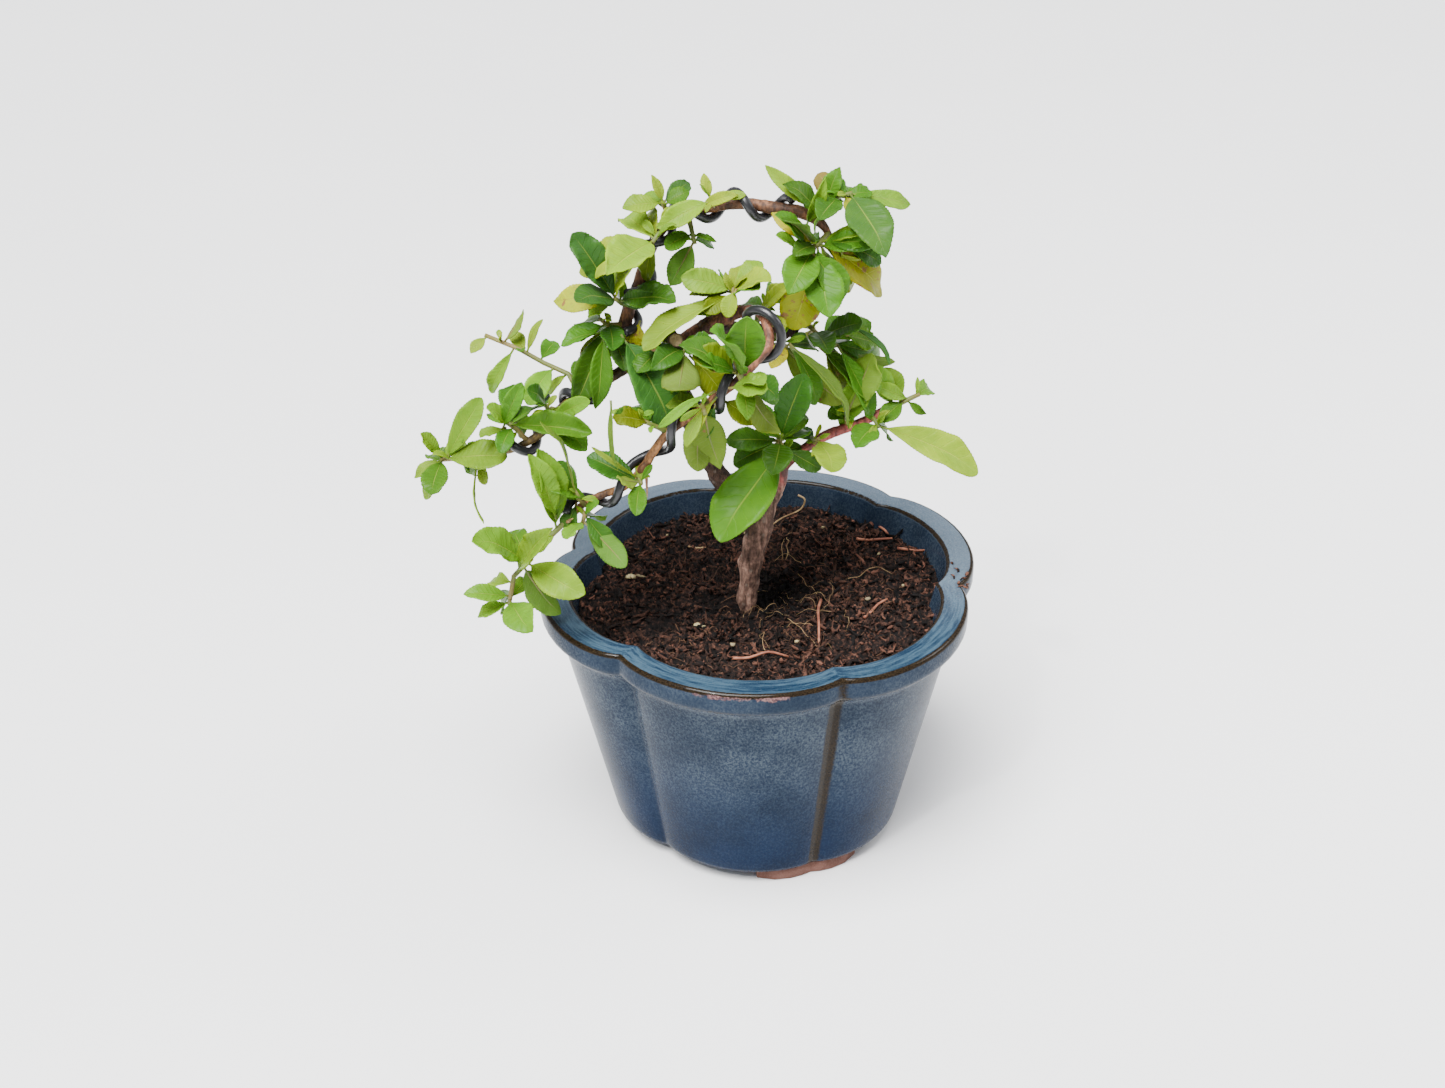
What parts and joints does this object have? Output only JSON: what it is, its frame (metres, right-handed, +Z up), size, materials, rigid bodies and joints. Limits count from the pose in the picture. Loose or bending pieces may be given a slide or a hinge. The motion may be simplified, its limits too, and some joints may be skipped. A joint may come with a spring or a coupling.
{
  "type": "potted bonsai",
  "caption": "Small wired firethorn bonsai with leafy shoots on bent limbs, planted in a lobed, blue-glazed pot with a flanged rim.",
  "frame": {"origin": "on the ground, under the middle of the whole plant's outline seen from above", "axes": "+Z up, -Y towards the viewer's side, +X to the viewer's right"},
  "size_m": [0.1878, 0.1438, 0.2379],
  "materials": {
    "glaze": "glossy",
    "mesh": "matte",
    "soil": "rough, moist",
    "bark": "rough",
    "wire": "black anodised",
    "leaf": "semi-gloss, waxy"
  },
  "bodies": {
    "root": {"pot": "glaze", "drain_screen": "mesh", "soil": "soil", "wood": "bark", "wire_arch": "wire", "wire_front": "wire", "wire_left": "wire", "shoot_left": "leaf", "spray_left_inner": "leaf", "spray_left_mid": "leaf", "spray_left_tip": "leaf", "spray_front_low": "leaf", "spray_front_elbow": "leaf", "spray_front_rising": "leaf", "spray_front_node": "leaf", "spray_front_upper": "leaf", "spray_front_mid": "leaf", "spray_front_high": "leaf", "spray_heart": "leaf", "spray_upper_left": "leaf", "spray_arch_foot": "leaf", "spray_arch_side": "leaf", "spray_arch_shoulder": "leaf", "spray_arch_top": "leaf", "spray_arch_hanging": "leaf", "spray_crown_high": "leaf", "spray_crown_low": "leaf", "spray_middle": "leaf", "spray_middle_back": "leaf", "spray_shoot_top": "leaf", "spray_shoot_tip": "leaf", "spray_right": "leaf", "spray_right_inner": "leaf", "spray_shoot_low": "leaf", "spray_shoot_base": "leaf", "spray_spur": "leaf"}
  },
  "joints": []
}
